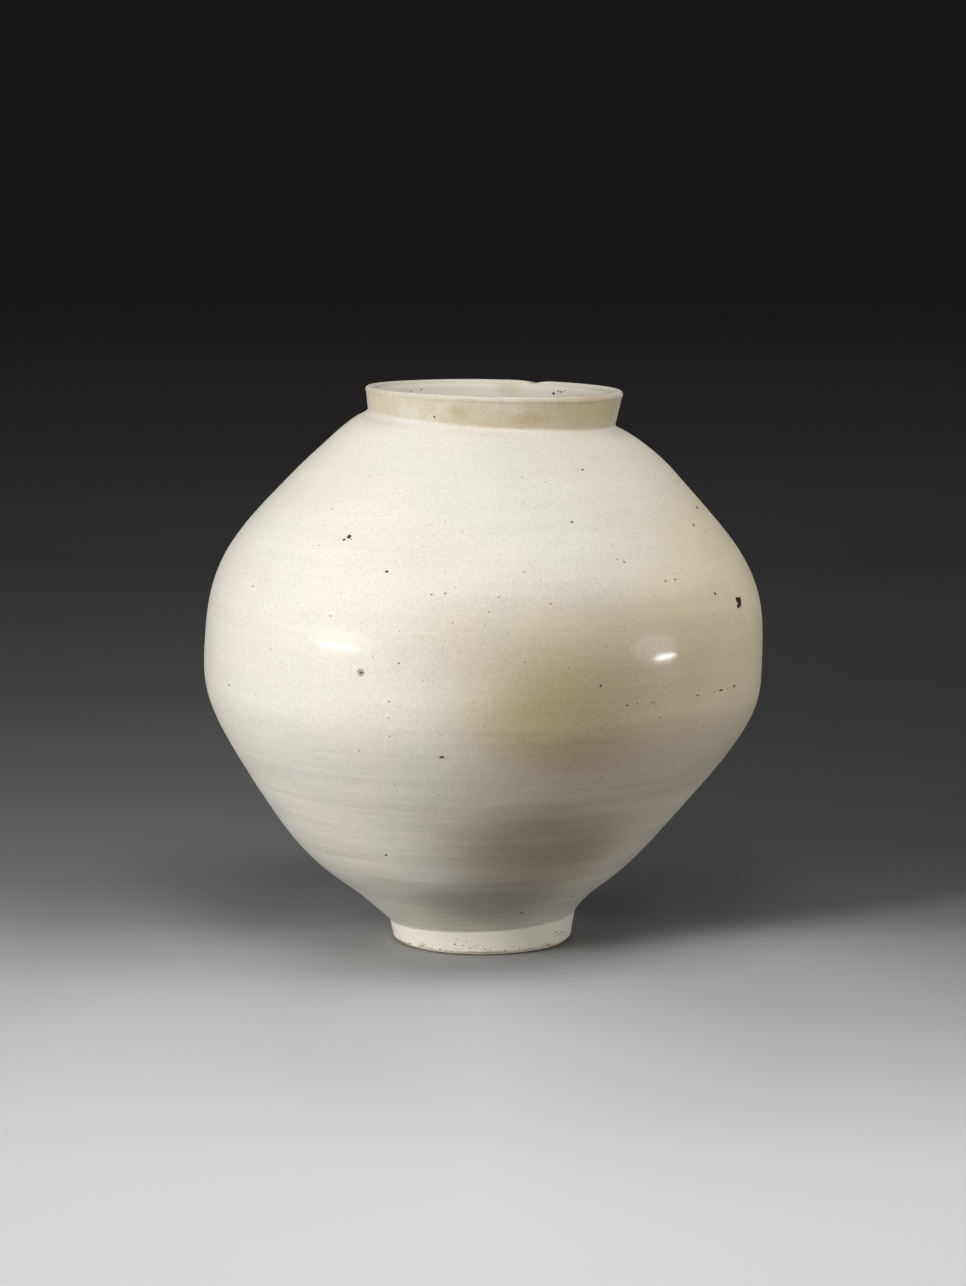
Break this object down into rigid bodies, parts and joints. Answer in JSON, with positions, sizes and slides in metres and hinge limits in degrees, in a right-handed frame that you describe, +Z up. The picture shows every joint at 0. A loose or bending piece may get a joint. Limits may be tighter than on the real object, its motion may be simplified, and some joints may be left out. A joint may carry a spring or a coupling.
{
  "type": "storage jar",
  "caption": "Large round white porcelain storage jar with a short upright collar, a low foot ring and a joined belly, slightly sagged.",
  "frame": {"origin": "on the ground under the middle of the jar's belly, at the bottom centre of its box", "axes": "+Z up through the mouth; the pictured side faces -Y; the neck leans to +X"},
  "size_m": [0.4447, 0.4444, 0.4452],
  "materials": {
    "porcelain_body": "fired porcelain clay, matt",
    "bare_porcelain": "bare fired porcelain, slightly rough, with kiln grit",
    "luting_slip": "fired slip, matt",
    "outer_glaze": "milky white glaze, soft gloss, with iron specks and pinholes",
    "inner_glaze": "thin white glaze, soft gloss"
  },
  "bodies": {
    "root": {"lower_bowl": "porcelain_body", "upper_bowl": "porcelain_body", "mouth_collar": "porcelain_body", "foot_ring": "bare_porcelain", "seam_coil": "porcelain_body", "belly_slip": "luting_slip", "collar_slip": "luting_slip", "foot_slip": "luting_slip", "outer_glaze": "outer_glaze", "inner_glaze": "inner_glaze", "base_glaze": "inner_glaze"}
  },
  "joints": []
}
